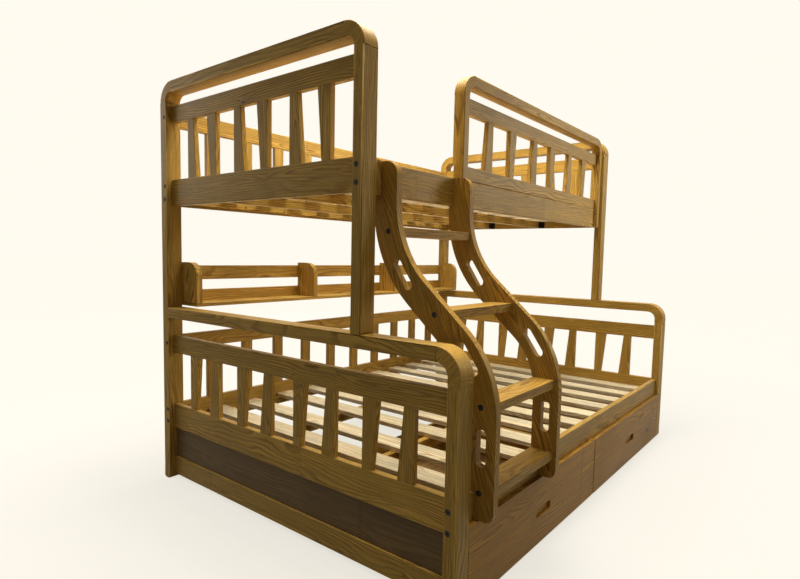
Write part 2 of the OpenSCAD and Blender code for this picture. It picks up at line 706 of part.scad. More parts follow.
// A bracket plate on the inner side of a box side, with the wheel's pin and its end washer
module drawer_brackets(x) for (s = [0, 1], y = wheel_y) {
  face = s == 0 ? x[0] + box_in + box_t : x[1] - box_in - box_t;
  translate([face, y, wheel_r]) mirror([s, 0, 0]) {
    box([0, -16, -5], [2.5, 16, bottom_z - wheel_r - 1]);
    rod_x(0, 0, 0, pin_r, wheel_w + 6);
    rod_x(wheel_w + 4.5, 0, 0, pin_r + 3, 2);
  }
}
module wheel_pair(x, y) for (s = [0, 1]) {
  face = s == 0 ? x[0] + box_in + box_t : x[1] - box_in - box_t;
  translate([face, y, wheel_r]) mirror([s, 0, 0]) difference() {
    rod_x(3.5, 0, 0, wheel_r, wheel_w);
    rod_x(3, 0, 0, pin_r + 0.06, wheel_w + 2);
  }
}
module left_drawer_front() color(wood) placed() drawer_front(drawer_x[0]);
module left_drawer_box() color(wood_light) placed() drawer_box(drawer_x[0]);
module left_drawer_bottom() color(wood_dark) placed() drawer_floor(drawer_x[0]);
module left_drawer_brackets() color(steel) placed() drawer_brackets(drawer_x[0]);
module left_drawer_front_wheels() color("dimgray") placed() wheel_pair(drawer_x[0], wheel_y[0]);
module left_drawer_rear_wheels() color("dimgray") placed() wheel_pair(drawer_x[0], wheel_y[1]);
module right_drawer_front() color(wood) placed() drawer_front(drawer_x[1]);
module right_drawer_box() color(wood_light) placed() drawer_box(drawer_x[1]);
module right_drawer_bottom() color(wood_dark) placed() drawer_floor(drawer_x[1]);
module right_drawer_brackets() color(steel) placed() drawer_brackets(drawer_x[1]);
module right_drawer_front_wheels() color("dimgray") placed() wheel_pair(drawer_x[1], wheel_y[0]);
module right_drawer_rear_wheels() color("dimgray") placed() wheel_pair(drawer_x[1], wheel_y[1]);

left_lower_rear_post();
right_lower_rear_post();
left_lower_front_post();
right_lower_front_post();
lower_top_rails();
lower_corner_blocks();
lower_mid_rails();
lower_end_slats();
lower_wide_rails();
lower_panels();
lower_bottom_rails();
left_upper_rear_post();
right_upper_rear_post();
left_upper_front_post();
right_upper_front_post();
upper_top_rails();
upper_corner_blocks();
upper_mid_rails();
upper_end_slats();
upper_wide_rails();
post_pins();
guard_posts();
guard_top_rail();
guard_corner_blocks();
guard_mid_rail();
guard_slats();
guard_board();
rail_batten();
upper_front_rail();
upper_rear_rail();
lower_front_rail();
lower_rear_rail();
rear_guard_rails();
rear_guard_slats();
upper_bed_slats();
lower_bed_slats();
slat_beams();
slat_ledges();
beam_brackets();
shelf_board();
shelf_dividers();
shelf_rails();
ladder_left_board();
ladder_right_board();
ladder_treads();
bolts();
barrel_nuts();
screws();
left_drawer_front();
left_drawer_box();
left_drawer_bottom();
left_drawer_brackets();
left_drawer_front_wheels();
left_drawer_rear_wheels();
right_drawer_front();
right_drawer_box();
right_drawer_bottom();
right_drawer_brackets();
right_drawer_front_wheels();
right_drawer_rear_wheels();
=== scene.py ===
"""Looks, stage and camera of the wood bunk bed: a Blender add-on, run as a script."""
import math
from functools import partial

import bmesh
import bpy
import numpy as np
from mathutils import Matrix, Vector

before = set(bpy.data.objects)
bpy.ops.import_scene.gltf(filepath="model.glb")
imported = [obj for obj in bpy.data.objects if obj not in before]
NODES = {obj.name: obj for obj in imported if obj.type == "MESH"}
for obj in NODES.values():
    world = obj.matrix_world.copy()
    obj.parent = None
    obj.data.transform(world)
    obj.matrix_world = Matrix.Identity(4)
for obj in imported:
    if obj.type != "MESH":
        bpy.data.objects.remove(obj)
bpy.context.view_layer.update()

bl_info = {
    "name": "Wood bunk bed",
    "version": (1, 0, 0),
    "blender": (4, 5, 0),
    "location": "3D View > Sidebar > Bunk bed",
    "description": "Pine finishes, softened edges, stage and camera for a bunk bed",
    "category": "Object",
}


# Settings

def colour_prop(name, text, value):
    """A colour property in linear light."""
    return bpy.props.FloatVectorProperty(
        name=name, description=text, default=value, size=3, subtype="COLOR", min=0.0, max=1.0)


class PineSettings(bpy.types.PropertyGroup):
    """Colours and scale of the pine."""
    early: colour_prop("Early wood", "Pale wood between the growth rings", (0.66, 0.400, 0.080))
    late: colour_prop("Late wood", "Darker bands of the growth rings", (0.19, 0.086, 0.011))
    brown_early: colour_prop(
        "Brown early wood", "Pale wood of the drawer fronts", (0.62, 0.314, 0.042))
    brown_late: colour_prop(
        "Brown late wood", "Darker bands of the drawer fronts", (0.17, 0.068, 0.007))
    ladder_early: colour_prop("Ladder early wood", "Pale wood of the ladder", (0.56, 0.320, 0.054))
    ladder_late: colour_prop(
        "Ladder late wood", "Darker bands of the ladder", (0.155, 0.068, 0.008))
    slat_early: colour_prop("Slat early wood", "Pale wood of the slats", (0.93, 0.82, 0.55))
    slat_late: colour_prop("Slat late wood", "Darker bands of the slats", (0.52, 0.36, 0.155))
    knot: colour_prop("Knots", "Colour of the knots' hearts", (0.075, 0.028, 0.010))
    panel: colour_prop("Thin board", "Face of the thin boards in the ends", (0.185, 0.112, 0.040))
    ring: bpy.props.FloatProperty(
        name="Ring spacing", description="Distance between two growth rings", default=0.0075,
        min=0.001, max=0.02, subtype="DISTANCE", unit="LENGTH")
    gloss: bpy.props.FloatProperty(
        name="Varnish roughness", description="Roughness of the clear varnish", default=0.46,
        min=0.05, max=1.0, subtype="FACTOR")


class EdgeSettings(bpy.types.PropertyGroup):
    """How far the edges of the pieces are rounded over."""
    post: bpy.props.FloatProperty(
        name="Posts and frames", description="Edge radius of posts, top rails and corner blocks",
        default=0.0045, min=0.0, max=0.01, subtype="DISTANCE", unit="LENGTH")
    board: bpy.props.FloatProperty(
        name="Boards", description="Edge radius of rails, treads and shelf boards",
        default=0.0025, min=0.0, max=0.008, subtype="DISTANCE", unit="LENGTH")
    slat: bpy.props.FloatProperty(
        name="Slats", description="Edge radius of the slats",
        default=0.0018, min=0.0, max=0.006, subtype="DISTANCE", unit="LENGTH")


class StageSettings(bpy.types.PropertyGroup):
    """Floor, light and camera."""
    paper: colour_prop("Background", "Cream background that the camera sees", (1.0, 0.965, 0.87))
    ambient: bpy.props.FloatProperty(
        name="Ambient light", description="Strength of the even light all round", default=0.05,
        min=0.0, max=3.0)
    sky: bpy.props.FloatProperty(
        name="Sky light", description="Strength of the wide soft light from straight above",
        default=1.8, min=0.0, max=10.0)
    overhead: bpy.props.FloatProperty(
        name="Overhead lamp", description="Power of the soft lamp over the middle of the bed",
        default=98.0, min=0.0, max=500.0, unit="POWER")
    lamp_place: bpy.props.FloatVectorProperty(
        name="Overhead lamp place", description="Where the soft lamp hangs over the bed", size=3,
        default=(-0.2, 0.12, 3.05), subtype="TRANSLATION", unit="LENGTH")
    front: bpy.props.FloatProperty(
        name="Front fill", description="Power of the soft lamp in front, at the right",
        default=6.0, min=0.0, max=500.0, unit="POWER")
    rear: bpy.props.FloatProperty(
        name="Rear fill", description="Power of the soft lamp behind, at the right",
        default=16.0, min=0.0, max=500.0, unit="POWER")
    bounce: bpy.props.FloatProperty(
        name="Bounce", description="Power of the upward lamp between the beds",
        default=3.2, min=0.0, max=500.0, unit="POWER")
    side: bpy.props.FloatProperty(
        name="Side fill", description="Power of the soft lamp behind, at the left",
        default=8.0, min=0.0, max=500.0, unit="POWER")
    lens: bpy.props.FloatProperty(
        name="Lens", description="Focal length on a 36 mm wide sensor", default=24.87,
        min=10.0, max=100.0, unit="CAMERA")
    eye: bpy.props.FloatVectorProperty(
        name="Camera place", description="Where the camera stands", size=3,
        default=(-2.1638, -1.4156, 0.9400), subtype="TRANSLATION", unit="LENGTH")
    yaw: bpy.props.FloatProperty(
        name="Yaw", description="Heading from +X towards +Y", default=math.radians(38.60),
        subtype="ANGLE", unit="ROTATION")
    pitch: bpy.props.FloatProperty(
        name="Pitch", description="Tilt above the horizon", default=math.radians(-4.63),
        subtype="ANGLE", unit="ROTATION")
    roll: bpy.props.FloatProperty(
        name="Roll", description="Turn about the line of sight", default=math.radians(1.20),
        subtype="ANGLE", unit="ROTATION")


# Node helpers

def feed(tree, socket, value):
    """Feeds a socket from another socket, or with a plain number, triple or colour."""
    if isinstance(value, bpy.types.NodeSocket):
        tree.links.new(value, socket)
    elif socket.type == "RGBA":
        socket.default_value = tuple(value) + (1.0,)
    else:
        socket.default_value = value


def maths(tree, op, *values, clamp=False):
    """A Math node on sockets or numbers. Returns its output."""
    n = tree.nodes.new("ShaderNodeMath")
    n.operation = op
    n.use_clamp = clamp
    for socket, value in zip(n.inputs, values):
        feed(tree, socket, value)
    return n.outputs[0]


def vecmath(tree, op, a, b):
    """A Vector Math node on sockets or triples. Returns the output that the operation uses."""
    n = tree.nodes.new("ShaderNodeVectorMath")
    n.operation = op
    feed(tree, n.inputs[0], a)
    feed(tree, n.inputs[1], b)
    return n.outputs["Value"] if op == "DISTANCE" else n.outputs[0]


def mix_colour(tree, share, a, b, blend="MIX"):
    """A Mix node for colours; share, a and b are sockets or values. Returns its colour output."""
    n = tree.nodes.new("ShaderNodeMix")
    n.data_type = "RGBA"
    n.blend_type = blend
    share_in, a_in, b_in = n.inputs[0], n.inputs[6], n.inputs[7]
    for socket, value in ((share_in, share), (a_in, a), (b_in, b)):
        feed(tree, socket, value)
    return n.outputs[2]


def ramp(tree, share, stops):
    """A smooth ramp through (position, grey) stops. Returns its colour output."""
    n = tree.nodes.new("ShaderNodeValToRGB")
    n.color_ramp.interpolation = "EASE"
    while len(n.color_ramp.elements) < len(stops):
        n.color_ramp.elements.new(0.5)
    for element, (position, grey) in zip(n.color_ramp.elements, stops):
        element.position = position
        element.color = (grey, grey, grey, 1)
    feed(tree, n.inputs[0], share)
    return n.outputs[0]


def split(tree, vector):
    """The three parts of a vector or colour."""
    n = tree.nodes.new("ShaderNodeSeparateXYZ")
    feed(tree, n.inputs[0], vector)
    return n.outputs


def combine(tree, *parts):
    """A vector made of three parts."""
    n = tree.nodes.new("ShaderNodeCombineXYZ")
    for socket, part in zip(n.inputs, parts):
        feed(tree, socket, part)
    return n.outputs[0]


def noise(tree, place, scale=1.0, detail=2.0, rough=0.5):
    """A Noise Texture node at a place."""
    n = tree.nodes.new("ShaderNodeTexNoise")
    feed(tree, n.inputs["Vector"], place)
    n.inputs["Scale"].default_value = scale
    n.inputs["Detail"].default_value = detail
    n.inputs["Roughness"].default_value = rough
    return n


def bump(tree, shader, height, strength, distance):
    """Fine relief on a finish, from a height."""
    n = tree.nodes.new("ShaderNodeBump")
    n.inputs["Strength"].default_value = strength
    n.inputs["Distance"].default_value = distance
    feed(tree, n.inputs["Height"], height)
    feed(tree, shader.inputs["Normal"], n.outputs[0])


def attribute(tree, name):
    """A vector attribute of the mesh."""
    n = tree.nodes.new("ShaderNodeAttribute")
    n.attribute_name = name
    return n.outputs["Vector"]


# Node groups

COLOUR, VALUE, VECTOR = "NodeSocketColor", "NodeSocketFloat", "NodeSocketVector"
GROUPS = {}

# The pine pattern. Cells are counted per metre along and across the grain, lengths are in metres,
# and two numbers in brackets are a spread and a least value.
KNOT_CELLS = (2.6, 7.5, 7.5)
DRIFT_CELLS = (1.7, 6.0, 6.0)
FIBRE_CELLS = (7.0, 290.0, 290.0)
STREAK_CELLS = (2.2, 46.0, 46.0)
PATCH_CELLS = (3.4, 11.0, 11.0)
SEED_SLIDE = (9.7, 0.0, 0.0)            # how far a full seed slides a piece through the wood
FINGER = 0.0035                         # half the width of a finger of a finger joint
FINGER_REACH = 2.6                      # its length over that
SPACING_PACE, SPACING_REACH = 3.1, 0.14     # wander of the lengths between finger joints
JOINT_LINE = 0.4985                     # where the dark line starts, in lengths off the middle
KNOT_RADIUS = (0.07, 0.035)             # of a knot, in cells
KNOT_STOPS = [(0.0, 1.0), (0.72, 0.85), (1.0, 0.0)]
SWIRL_REACH = 3.2                       # of the bent rings round a knot, in its radii
SWIRL_BEND, DRIFT_BEND = 0.018, 0.012   # how far knots and drift push the rings out
PITH_SIDE = (0.12, -0.06)               # place of the pith across the piece
PITH_DEPTH = (0.045, 0.014)             # distance of the pith from the piece's middle
DRIFT = (0.10, -0.05)                   # wander of the pith along the grain
BAND_STOPS = [(0.0, 0.0), (0.40, 0.16), (0.82, 1.0), (0.92, 0.8), (1.0, 0.0)]
LENGTH_TONE = (0.26, 0.86)              # shade of each length between finger joints
SHADE_LIFT = 1.34                       # makes up for what the shade ramps take
HALO_MIX, HEART_MIX, LINE_MIX = 0.42, 0.93, 0.22


def new_group(name, ins, outs):
    """A shader node group with named sockets; returns the group and its end nodes."""
    tree = bpy.data.node_groups.new(name, "ShaderNodeTree")
    for label, kind, default in ins:
        s = tree.interface.new_socket(name=label, in_out="INPUT", socket_type=kind)
        if default is not None:
            s.default_value = default
    for label, kind in outs:
        tree.interface.new_socket(name=label, in_out="OUTPUT", socket_type=kind)
    return tree, tree.nodes.new("NodeGroupInput"), tree.nodes.new("NodeGroupOutput")


def use_group(tree, name, maker, inputs):
    """Places a shared node group, building it the first time, and feeds its sockets."""
    if name not in GROUPS:
        GROUPS[name] = maker()
    n = tree.nodes.new("ShaderNodeGroup")
    n.node_tree = GROUPS[name]
    for label, value in inputs.items():
        feed(tree, n.inputs[label], value)
    return n


def grain_space_group():
    """Place inside a piece, turned so that x runs along the grain, slid along it by the seed."""
    tree, gi, go = new_group(
        "Grain space",
        [("Place", VECTOR, None), ("Centre", VECTOR, None), ("Seed", VECTOR, None),
         ("Turn", VECTOR, (0, 0, 0))],
        [("Grain place", VECTOR)])
    inside = vecmath(tree, "SUBTRACT", gi.outputs["Place"], gi.outputs["Centre"])
    turn = tree.nodes.new("ShaderNodeVectorRotate")
    turn.rotation_type = "EULER_XYZ"
    feed(tree, turn.inputs["Vector"], inside)
    feed(tree, turn.inputs["Rotation"], gi.outputs["Turn"])
    slide = vecmath(tree, "MULTIPLY", gi.outputs["Seed"], SEED_SLIDE)
    feed(tree, go.inputs["Grain place"], vecmath(tree, "ADD", turn.outputs[0], slide))
    return tree


def pine_group():
    """Growth rings round a wandering pith, knots, pores, finger joints and tone steps."""
    tree, gi, go = new_group(
        "Pine",
        [("Place", VECTOR, None), ("Seed", VECTOR, None),
         ("Early wood", COLOUR, (0.6, 0.4, 0.2, 1)), ("Late wood", COLOUR, (0.4, 0.2, 0.1, 1)),
         ("Knot colour", COLOUR, (0.08, 0.03, 0.01, 1)), ("Ring spacing", VALUE, 0.004),
         ("Knot amount", VALUE, 0.5), ("Joint length", VALUE, 0.55),
         ("Varnish roughness", VALUE, 0.4)],
        [("Colour", COLOUR), ("Roughness", VALUE), ("Height", VALUE)])
    calc, grey = partial(maths, tree), partial(ramp, tree)
    place = gi.outputs["Place"]
    u, v, w = split(tree, place)
    seed = split(tree, gi.outputs["Seed"])

    # Finger joints: lengths of wood with their own tone, meeting in a comb
    comb = calc("MULTIPLY", calc("PINGPONG", w, FINGER), FINGER_REACH)
    uneven = calc("MULTIPLY", calc("SINE", calc("MULTIPLY", u, SPACING_PACE)), SPACING_REACH)
    shifted = calc("ADD", calc("ADD", u, comb), uneven)
    length = calc("DIVIDE", shifted, gi.outputs["Joint length"])
    tone = tree.nodes.new("ShaderNodeTexWhiteNoise")
    feed(tree, tone.inputs["Vector"], combine(tree, calc("FLOOR", length), seed[0], seed[1]))
    tones = split(tree, tone.outputs["Color"])
    from_middle = calc("ABSOLUTE", calc("SUBTRACT", calc("FRACT", length), 0.5))
    joint_line = calc("GREATER_THAN", from_middle, JOINT_LINE)

    # Knots: sparse cells stretched a little along the grain, with a bell-shaped swirl round them
    knots = tree.nodes.new("ShaderNodeTexVoronoi")
    knots.inputs["Scale"].default_value = 1.0
    feed(tree, knots.inputs["Vector"], vecmath(tree, "MULTIPLY", place, KNOT_CELLS))
    cell = split(tree, knots.outputs["Color"])
    is_knot = calc("LESS_THAN", cell[0], gi.outputs["Knot amount"])
    radius = calc("MULTIPLY_ADD", cell[1], *KNOT_RADIUS)
    near = calc("DIVIDE", knots.outputs["Distance"], radius)
    heart = calc("MULTIPLY", grey(near, KNOT_STOPS), is_knot)
    fall = calc("MULTIPLY", calc("POWER", calc("DIVIDE", near, SWIRL_REACH), 2.0), -1.0)
    swirl = calc("MULTIPLY", calc("POWER", 2.718, fall), is_knot)

    # Growth rings round a pith that wanders just outside each length of wood
    slow = noise(tree, vecmath(tree, "MULTIPLY", place, DRIFT_CELLS), detail=2.5)
    drift = split(tree, slow.outputs["Color"])
    side = calc("SIGN", calc("SUBTRACT", tones[0], 0.5))
    pith_v = calc("MULTIPLY_ADD", tones[1], *PITH_SIDE)
    pith_w = calc("MULTIPLY", calc("MULTIPLY_ADD", tones[2], *PITH_DEPTH), side)
    dv = calc("ADD", calc("SUBTRACT", v, pith_v), calc("MULTIPLY_ADD", drift[0], *DRIFT))
    dw = calc("ADD", calc("ADD", w, pith_w), calc("MULTIPLY_ADD", drift[1], *DRIFT))
    around = calc("SQRT", calc("ADD", calc("MULTIPLY", dv, dv), calc("MULTIPLY", dw, dw)))
    around = calc("ADD", around, calc("MULTIPLY", swirl, SWIRL_BEND))
    around = calc("ADD", around, calc("MULTIPLY", drift[2], DRIFT_BEND))
    band = grey(calc("FRACT", calc("DIVIDE", around, gi.outputs["Ring spacing"])), BAND_STOPS)

    # Fine fibres and pores along the grain, streaks, and patches of stronger rings
    fibre, streak, patch = (
        noise(tree, vecmath(tree, "MULTIPLY", place, cells), 1.0, detail, rough).outputs[0]
        for cells, detail, rough in (
            (FIBRE_CELLS, 4.0, 0.65), (STREAK_CELLS, 3.0, 0.5), (PATCH_CELLS, 2.0, 0.5)))
    strong = calc("MULTIPLY", grey(streak, [(0.30, 0.60), (0.62, 1.0)]),
                  grey(patch, [(0.33, 0.45), (0.60, 1.0)]))
    wood = mix_colour(tree, calc("MULTIPLY", band, strong, clamp=True),
                      gi.outputs["Early wood"], gi.outputs["Late wood"])
    shade = calc("MULTIPLY_ADD", tones[0], *LENGTH_TONE)
    for source, stops in (
            (fibre, [(0.32, 0.66), (0.68, 1.0)]), (streak, [(0.28, 0.74), (0.72, 1.0)]),
            (patch, [(0.30, 0.78), (0.68, 1.0)])):
        shade = calc("MULTIPLY", shade, grey(source, stops))
    shade = calc("MULTIPLY", shade, SHADE_LIFT)
    wood = mix_colour(tree, 1.0, wood, combine(tree, shade, shade, shade), "MULTIPLY")
    for mask, share, over in (
            (swirl, HALO_MIX, "Late wood"), (heart, HEART_MIX, "Knot colour"),
            (joint_line, LINE_MIX, "Knot colour")):
        wood = mix_colour(tree, calc("MULTIPLY", mask, share), wood, gi.outputs[over])
    feed(tree, go.inputs["Colour"], wood)

    # Late wood and streaks are a little rougher; rings, fibres and knots stand a little proud
    rough = calc("MULTIPLY_ADD", band, 0.07, gi.outputs["Varnish roughness"])
    rough = calc("ADD", rough, calc("MULTIPLY_ADD", streak, 0.14, -0.07))
    feed(tree, go.inputs["Roughness"], rough)
    height = calc("MULTIPLY_ADD", band, 0.35, calc("MULTIPLY", fibre, 0.65))
    height = calc("SUBTRACT", height, calc("MULTIPLY", joint_line, 0.8))
    height = calc("ADD", height, calc("MULTIPLY", heart, 0.35))
    feed(tree, go.inputs["Height"], height)
    return tree


def wear_group():
    """Rubbed spots and a faint cloud of handling over a finish."""
    tree, gi, go = new_group(
        "Handling marks",
        [("Place", VECTOR, None), ("Colour", COLOUR, (1, 1, 1, 1)), ("Roughness", VALUE, 0.4),
         ("Amount", VALUE, 0.5), ("Mark colour", COLOUR, (0.2, 0.12, 0.05, 1))],
        [("Colour", COLOUR), ("Roughness", VALUE)])
    calc, place = partial(maths, tree), gi.outputs["Place"]
    cloud, spots = noise(tree, place, 5.0, 5.0), noise(tree, place, 55.0, 2.0)
    cloudy = ramp(tree, cloud.outputs[0], [(0.45, 0.0), (0.78, 1.0)])
    spotty = ramp(tree, spots.outputs[0], [(0.66, 0.0), (0.74, 1.0)])
    marks = calc("MAXIMUM", calc("MULTIPLY", cloudy, 0.35), calc("MULTIPLY", spotty, 0.22))
    mask = calc("MULTIPLY", marks, gi.outputs["Amount"])
    feed(tree, go.inputs["Colour"],
         mix_colour(tree, mask, gi.outputs["Colour"], gi.outputs["Mark colour"]))
    feed(tree, go.inputs["Roughness"],
         calc("MULTIPLY_ADD", mask, 0.35, gi.outputs["Roughness"]))
    return tree


# Finishes

ALONG = {
    "x": (0.0, 0.0, 0.0),
    "y": (0.0, 0.0, -math.pi / 2),
    "z": (0.0, math.pi / 2, 0.0),
}
BLOCK_TURN = (math.radians(45), 0.0, -math.pi / 2)      # grain across a corner, end frames
GUARD_BLOCK_TURN = (0.0, math.radians(45), 0.0)         # the same in the front guard
LADDER_TURN = (math.radians(22), math.pi / 2, 0.0)      # grain along the leaning ladder boards
MATERIALS = {}


def scaled(colour, share):
    """A colour times a number."""
    return tuple(c * share for c in colour)


def fresh_material(name):
    """A new material, with its tree, its shader and the object's own coordinates."""
    mat = bpy.data.materials.new(name)
    mat.use_nodes = True
    tree = mat.node_tree
    coords = tree.nodes.new("ShaderNodeTexCoord").outputs["Object"]
    return mat, tree, tree.nodes["Principled BSDF"], coords


def pine_material(name, turn, early, late, knots, joint, ring=None, rough=None, relief=0.35,
                  wear=0.5):
    """Varnished pine with its grain along one direction."""
    s = bpy.context.scene.bunk_pine
    mat, tree, shader, coords = fresh_material(name)
    seed, centre = attribute(tree, "piece_seed"), attribute(tree, "piece_centre")
    space = use_group(tree, "Grain space", grain_space_group, {
        "Place": coords, "Centre": centre, "Seed": seed, "Turn": turn})
    pine = use_group(tree, "Pine", pine_group, {
        "Place": space.outputs["Grain place"], "Seed": seed, "Early wood": early,
        "Late wood": late, "Knot colour": s.knot, "Ring spacing": ring or s.ring,
        "Knot amount": knots, "Joint length": joint, "Varnish roughness": rough or s.gloss})
    marks = use_group(tree, "Handling marks", wear_group, {
        "Place": coords, "Colour": pine.outputs["Colour"],
        "Roughness": pine.outputs["Roughness"], "Amount": wear})
    feed(tree, shader.inputs["Base Color"], marks.outputs["Colour"])
    feed(tree, shader.inputs["Roughness"], marks.outputs["Roughness"])
    shader.inputs["Coat Weight"].default_value = 0.03
    shader.inputs["Coat Roughness"].default_value = 0.25
    shader.inputs["Specular IOR Level"].default_value = 0.11
    bump(tree, shader, pine.outputs["Height"], relief, 0.0006)
    return mat


def steel_material(name, colour, rough):
    """Blackened steel with a fine brushed variation."""
    mat, tree, shader, coords = fresh_material(name)
    brush = noise(tree, coords, 900.0, 3.0).outputs[0]
    feed(tree, shader.inputs["Base Color"],
         mix_colour(tree, brush, scaled(colour, 0.7), scaled(colour, 1.4)))
    feed(tree, shader.inputs["Roughness"],
         maths(tree, "MULTIPLY_ADD", brush, 0.25, rough - 0.12))
    shader.inputs["Metallic"].default_value = 0.6
    shader.inputs["Specular IOR Level"].default_value = 0.25
    bump(tree, shader, brush, 0.15, 0.0002)
    return mat


def plastic_material(name, colour):
    """Moulded wheel plastic with a fine orange-peel surface and scuffs."""
    mat, tree, shader, coords = fresh_material(name)
    peel = noise(tree, coords, 1400.0).outputs[0]
    dusty = ramp(tree, noise(tree, coords, 140.0, 4.0).outputs[0], [(0.45, 0.0), (0.75, 1.0)])
    feed(tree, shader.inputs["Base Color"],
         mix_colour(tree, dusty, colour, tuple(c + 0.10 for c in colour)))
    feed(tree, shader.inputs["Roughness"], maths(tree, "MULTIPLY_ADD", dusty, 0.25, 0.42))
    bump(tree, shader, peel, 0.2, 0.0002)
    return mat


def material(key):
    """The finish named key, built the first time it is asked for."""
    if key in MATERIALS:
        return MATERIALS[key]
    s = bpy.context.scene.bunk_pine
    plain_wood = tuple(s.early), tuple(s.late)
    calm_wood = scaled(s.early, 0.9), scaled(s.late, 1.7)
    upright_wood = scaled(s.early, 0.92), tuple(s.late)
    brown = tuple(s.brown_early), tuple(s.brown_late)
    slat = tuple(s.slat_early), tuple(s.slat_late)
    ladder = tuple(s.ladder_early), tuple(s.ladder_late)
    thin = tuple(s.panel), scaled(s.panel, 0.62)
    thin_light = scaled(s.panel, 2.2), scaled(s.panel, 1.5)
    board = {"rough": 0.5, "relief": 0.2, "wear": 0.7}
    # For pine: name, grain direction, colours, share of knots and length between finger joints;
    # a length over 2 m leaves most pieces without a joint
    makers = {
        "post_z": lambda: pine_material("pine post", ALONG["z"], *plain_wood, 0.12, 1.1),
        "rail_x": lambda: pine_material("pine side rail", ALONG["x"], *plain_wood, 0.30, 1.2),
        "rail_y": lambda: pine_material("pine end rail", ALONG["y"], *plain_wood, 0.30, 1.2),
        "block": lambda: pine_material("pine corner block", BLOCK_TURN, *calm_wood, 0.0, 5.0),
        "guard_block": lambda: pine_material(
            "pine guard block", GUARD_BLOCK_TURN, *calm_wood, 0.0, 5.0),
        "slat_z": lambda: pine_material(
            "pine upright slat", ALONG["z"], *upright_wood, 0.10, 3.0, ring=0.0055),
        "slat_y": lambda: pine_material(
            "pine bed slat", ALONG["y"], *slat, 0.42, 3.0, ring=0.0065),
        "ladder": lambda: pine_material("pine ladder board", LADDER_TURN, *ladder, 0.30, 4.0),
        "tread": lambda: pine_material("pine tread", ALONG["x"], *ladder, 0.30, 1.2),
        "drawer_x": lambda: pine_material("pine drawer front", ALONG["x"], *brown, 0.40, 2.6),
        "panel": lambda: pine_material(
            "thin board", ALONG["y"], *thin, 0.0, 9.0, ring=0.011, **board),
        "drawer_floor": lambda: pine_material(
            "drawer bottom board", ALONG["x"], *thin_light, 0.0, 9.0, ring=0.012, **board),
        "steel": lambda: steel_material("blackened steel", (0.022, 0.019, 0.017), 0.55),
        "plastic": lambda: plastic_material("wheel plastic", (0.035, 0.035, 0.037)),
    }
    MATERIALS[key] = makers[key]()
    return MATERIALS[key]


# Pieces

JOIN_STEPS = 20000                  # corners in the same 1/20000 m are one corner
HASH_AXES = np.array([12.9898, 78.233, 37.719])
HASH_SCALE = 43758.5453
SHARP = 0.86                        # dot of two faces' normals under which their edge is sharp
ROUNDED = 0.64                      # and under which the edge can be rounded
ON_SIDE = 1e-4                      # how near its box's side an edge counts as on it
WELD = 0.00003
STEEL_EDGE = 0.0003                 # edge radii of small and thin pieces
THIN_EDGE = 0.0005
WHEEL_EDGE = 0.0012
FRONT_EDGE = 0.0016


def solids_of(me):
    """Joined corners of a mesh: places, the joined number of each vertex and its solid."""
    co = np.zeros(len(me.vertices) * 3, np.float32)
    me.vertices.foreach_get("co", co)
    co = co.reshape(-1, 3)
    keys, same = np.unique(np.round(co * JOIN_STEPS).astype(np.int64), axis=0, return_inverse=True)
    same = same.reshape(-1)
    root = list(range(len(keys)))

    def find(i):
        while root[i] != i:
            root[i] = root[root[i]]
            i = root[i]
        return i

    for e in me.edges:
        a, b = find(same[e.vertices[0]]), find(same[e.vertices[1]])
        if a != b:
            root[a] = b
    owner = np.array([find(i) for i in range(len(keys))])[same]
    return co, same, owner


def seed_pieces(obj, solids):
    """Gives every separate solid of a CAD node its own seed, so that no two boards match."""
    co, same, owner = solids
    seeds = np.zeros((len(co), 3), np.float32)
    middles = np.zeros((len(co), 3), np.float32)
    base = sum((i + 1) * ord(c) for i, c in enumerate(obj.name)) % 997
    for k in np.unique(owner):
        mine = owner == k
        h = base * 0.137 + co[mine].mean(0) @ HASH_AXES
        seeds[mine] = np.modf(np.abs(np.sin(np.array([h, h + 1.7, h + 3.1])) * HASH_SCALE))[0]
        middles[mine] = (co[mine].min(0) + co[mine].max(0)) / 2
    for name, values in (("piece_seed", seeds), ("piece_centre", middles)):
        layer = obj.data.attributes.new(name, "FLOAT_VECTOR", "POINT")
        layer.data.foreach_set("vector", values.reshape(-1))


# Which sharp edges are rounded: fewest and most sides of the solid's own box that the edge lies
# on, and its least length. Mouths of mortises and screw holes stay crisp.
EDGE_RULES = {
    "long": (2, 3, 0.055),
    "rim": (1, 1, 0.003),
    "slat": (1, 3, 0.09),
    "pull": (1, 3, 0.004),
    "all": (0, 3, 0.0),
}


